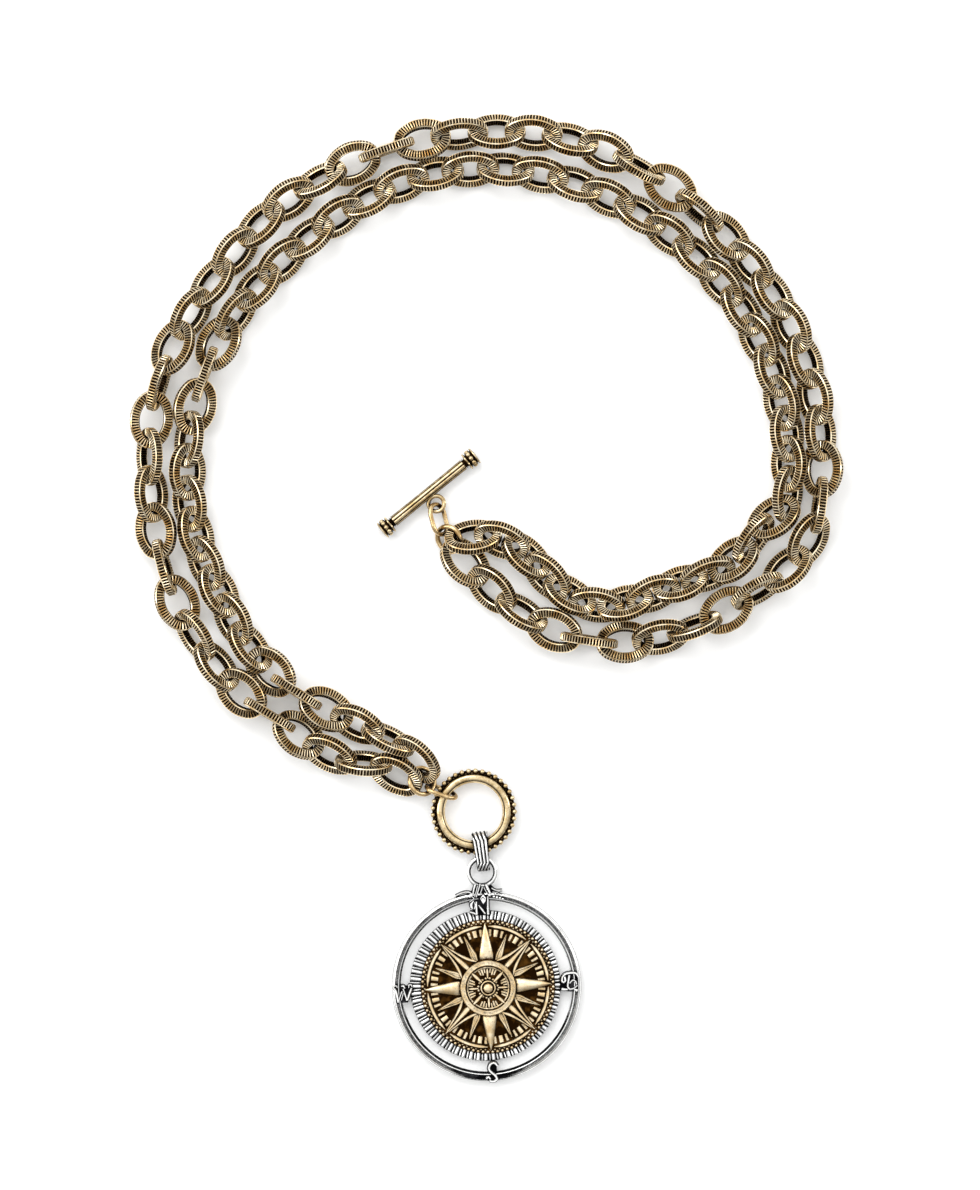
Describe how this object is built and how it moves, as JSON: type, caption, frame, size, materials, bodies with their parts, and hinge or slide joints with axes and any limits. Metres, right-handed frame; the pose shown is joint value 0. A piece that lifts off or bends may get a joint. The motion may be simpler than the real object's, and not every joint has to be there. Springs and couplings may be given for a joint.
{
  "type": "pendant necklace",
  "caption": "Round compass pendant in two metal colours on a grooved bail and beaded toggle clasp, with a double strand of ridged oval links, laid open on a surface.",
  "frame": {"origin": "centre of the pendant disc's flat back, on the surface the necklace lies on", "axes": "+X to the pendant's E side, +Y up the pendant through its top loop towards the chain, +Z out of the pendant's face"},
  "size_m": [0.157, 0.2131, 0.0095],
  "materials": {
    "antique_brass": "antiqued, dark in the grooves",
    "antique_silver": "bright silver plate, oxidised in the grooves"
  },
  "bodies": {
    "root": {"pendant_frame": "antique_silver", "medallion": "antique_brass", "compass_rose": "antique_brass", "center_rivet": "antique_brass", "bail": "antique_silver", "toggle_ring": "antique_brass", "toggle_bar": "antique_brass", "toggle_link": "antique_brass", "toggle_jump_ring": "antique_brass", "ring_link": "antique_brass", "ring_jump_ring": "antique_brass", "chain_outer": "antique_brass", "chain_inner": "antique_brass"}
  },
  "joints": []
}
